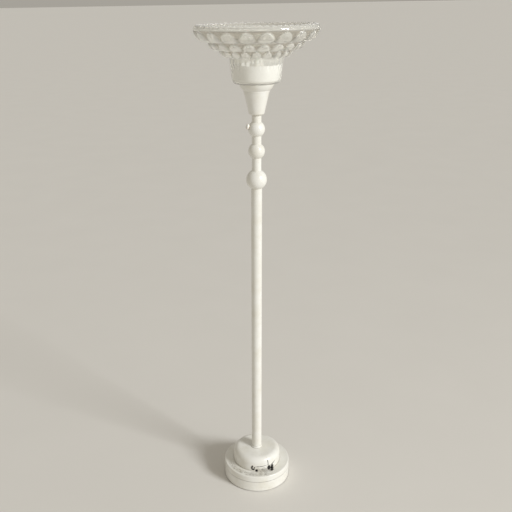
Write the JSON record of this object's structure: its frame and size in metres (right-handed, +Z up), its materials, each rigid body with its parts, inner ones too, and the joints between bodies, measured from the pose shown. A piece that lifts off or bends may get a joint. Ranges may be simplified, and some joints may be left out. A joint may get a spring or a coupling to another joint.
{
  "type": "torchiere floor lamp",
  "caption": "Torchiere floor lamp: stepped round base, straight pole with turned balls, rotary knob, and a tiered pressed-glass bowl round an upright bulb.",
  "frame": {"origin": "middle of the base's underside, where the lamp stands on the floor", "axes": "+Z up along the pole, -Y the front, +Y the side of the cord bushing"},
  "size_m": [0.4085, 0.4086, 1.7245],
  "materials": {
    "ivory_paint": "warm white brushed-on gloss paint over steel",
    "liner_enamel": "white baked enamel on spun aluminium",
    "pressed_glass": "clear fire-polished pressed glass",
    "bulb_frost": "inside-frosted glass",
    "felt": "green wool felt",
    "iron": "rough casting",
    "plated_steel": "zinc plated",
    "brass": "turned brass",
    "porcelain": "white glazed porcelain",
    "knob_plastic": "moulded white plastic",
    "phenolic": "moulded black phenolic",
    "bushing_plastic": "moulded plastic",
    "fibre": "grey vulcanised fibre",
    "wire_sheath": "smooth extruded sheath"
  },
  "bodies": {
    "lamp": {"felt_pad": "felt", "base_plate": "plated_steel", "base_plate_screws": "plated_steel", "base_weight": "iron", "base_skirt": "ivory_paint", "cord_bushing": "bushing_plastic", "base_cover": "ivory_paint", "base_step": "ivory_paint", "base_sleeve": "plated_steel", "base_nipple": "plated_steel", "base_washer": "plated_steel", "base_nut": "plated_steel", "pole_collar": "ivory_paint", "pole_tube": "ivory_paint", "pole_foot_insert": "plated_steel", "pole_head_insert": "plated_steel", "ball_large": "ivory_paint", "spacer_lower": "ivory_paint", "ball_middle": "ivory_paint", "spacer_middle": "ivory_paint", "spacer_upper": "ivory_paint", "stem_pipe_lower": "plated_steel", "stem_pipe_upper": "plated_steel", "stem_nut_lower": "plated_steel", "stem_nut_upper": "plated_steel", "switch_ball": "ivory_paint", "switch_housing": "phenolic", "switch_bushing": "brass", "switch_ring_nut": "brass", "husk": "ivory_paint", "bell_cup": "ivory_paint", "cup_nut": "plated_steel", "shade_gasket": "fibre", "shade_glass": "pressed_glass", "shade_bushing": "bushing_plastic", "liner_cup": "liner_enamel", "liner_nut": "brass", "socket_screws": "plated_steel", "socket_cap": "brass", "socket_body": "porcelain", "socket_shell": "brass", "socket_contact": "brass", "supply_wire": "wire_sheath"},
    "switch_rotor": {"switch_shaft": "brass", "switch_knob": "knob_plastic"},
    "bulb_carrier": {"bulb_contact": "plated_steel"},
    "bulb": {"bulb_insulator": "phenolic", "bulb_cap": "brass", "bulb_glass": "bulb_frost"}
  },
  "joints": [
    {"name": "switch_turn", "type": "hinge", "parent": "lamp", "child": "switch_rotor", "pos_m": [0, 0, 1.38992], "axis": [-0.9095, -0.2955, 0.2924], "continuous": true},
    {"name": "bulb_rise", "type": "slide", "parent": "lamp", "child": "bulb_carrier", "axis": [0, 0, 1], "range_m": [0, 0.01452]},
    {"name": "bulb_turn", "type": "hinge", "parent": "bulb_carrier", "child": "bulb", "pos_m": [0, 0, 1.58], "axis": [0, 0, 1], "range_deg": [0, 1440]}
  ],
  "couplings": [
    {"joint": "bulb_turn", "follows": "bulb_rise", "rad_per_m": 1731.4}
  ]
}
